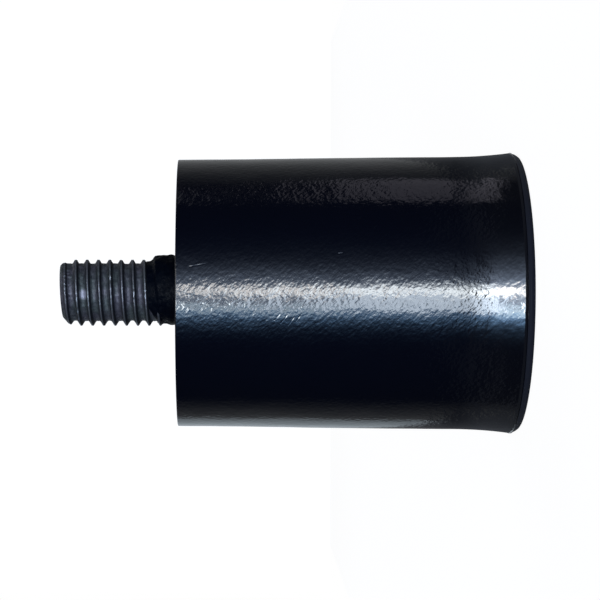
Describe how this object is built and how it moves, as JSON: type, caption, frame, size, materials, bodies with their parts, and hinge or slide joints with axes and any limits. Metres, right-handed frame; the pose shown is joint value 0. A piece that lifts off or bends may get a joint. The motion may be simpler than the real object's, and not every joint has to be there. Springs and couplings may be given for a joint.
{
  "type": "bobbin vibration mount",
  "caption": "Cylindrical rubber-to-metal vibration mount with a flared base rim, a threaded stud on one face and a tapped socket in the other.",
  "frame": {"origin": "middle of the socket face, on which the mount stands", "axes": "+Z along the axis, from the socket face towards the stud's tip"},
  "size_m": [0.025, 0.025, 0.0404],
  "materials": {
    "rubber": "moulded, semi-gloss, fine grain",
    "plate_steel": "dull zinc plate",
    "stud_steel": "dark, soiled, lighter on the crests",
    "bush_steel": "turned, dull zinc plate"
  },
  "bodies": {
    "root": {"rubber_body": "rubber", "stud_plate": "plate_steel", "threaded_stud": "stud_steel", "socket_plate": "plate_steel", "threaded_bush": "bush_steel"}
  },
  "joints": []
}
